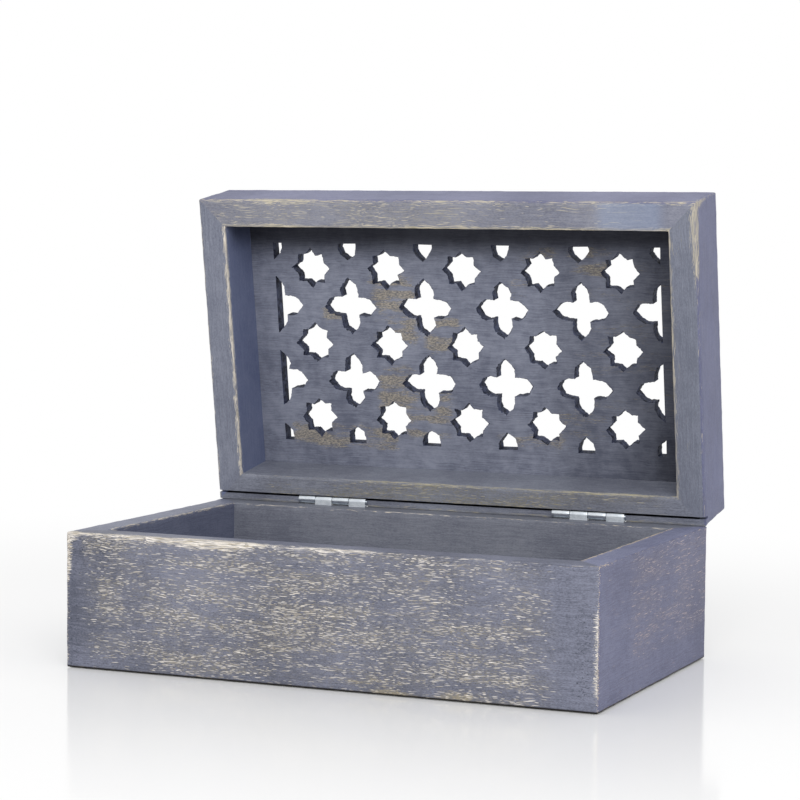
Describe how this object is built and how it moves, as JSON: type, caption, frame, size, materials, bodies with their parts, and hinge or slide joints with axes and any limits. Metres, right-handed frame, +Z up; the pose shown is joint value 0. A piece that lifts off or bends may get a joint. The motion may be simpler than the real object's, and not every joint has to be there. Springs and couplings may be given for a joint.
{
  "type": "decorative box",
  "caption": "Hinged wooden keepsake box with mitred walls and a deep lid whose top is a pierced fretwork board.",
  "frame": {"origin": "middle of the base's underside, on the surface that the box stands on", "axes": "+X along the width, to the right when seen from the front; +Y from the front wall to the hinged rear wall; +Z up"},
  "size_m": [0.254, 0.1816, 0.2172],
  "materials": {
    "painted_wood": "slate blue-grey paint rubbed back along the grain and at the edges",
    "hinge_steel": "bright zinc plate",
    "brad_steel": "plain bright wire"
  },
  "bodies": {
    "base": {"base_front_wall": "painted_wood", "base_rear_wall": "painted_wood", "base_left_wall": "painted_wood", "base_right_wall": "painted_wood", "base_bottom_board": "painted_wood", "base_corner_brads": "brad_steel", "bottom_board_brads": "brad_steel", "hinge_base_brads": "brad_steel", "left_hinge_base_leaf": "hinge_steel", "left_hinge_pin": "hinge_steel", "right_hinge_base_leaf": "hinge_steel", "right_hinge_pin": "hinge_steel"},
    "lid": {"lid_front_rail": "painted_wood", "lid_rear_rail": "painted_wood", "lid_left_rail": "painted_wood", "lid_right_rail": "painted_wood", "lid_fretwork_board": "painted_wood", "lid_corner_brads": "brad_steel", "hinge_lid_brads": "brad_steel", "left_hinge_lid_leaf": "hinge_steel", "right_hinge_lid_leaf": "hinge_steel"}
  },
  "joints": [
    {"name": "lid_hinge", "type": "hinge", "parent": "base", "child": "lid", "pos_m": [0, 0.07375, 0.06435], "axis": [1, 0, 0], "range_deg": [0, 81]}
  ]
}
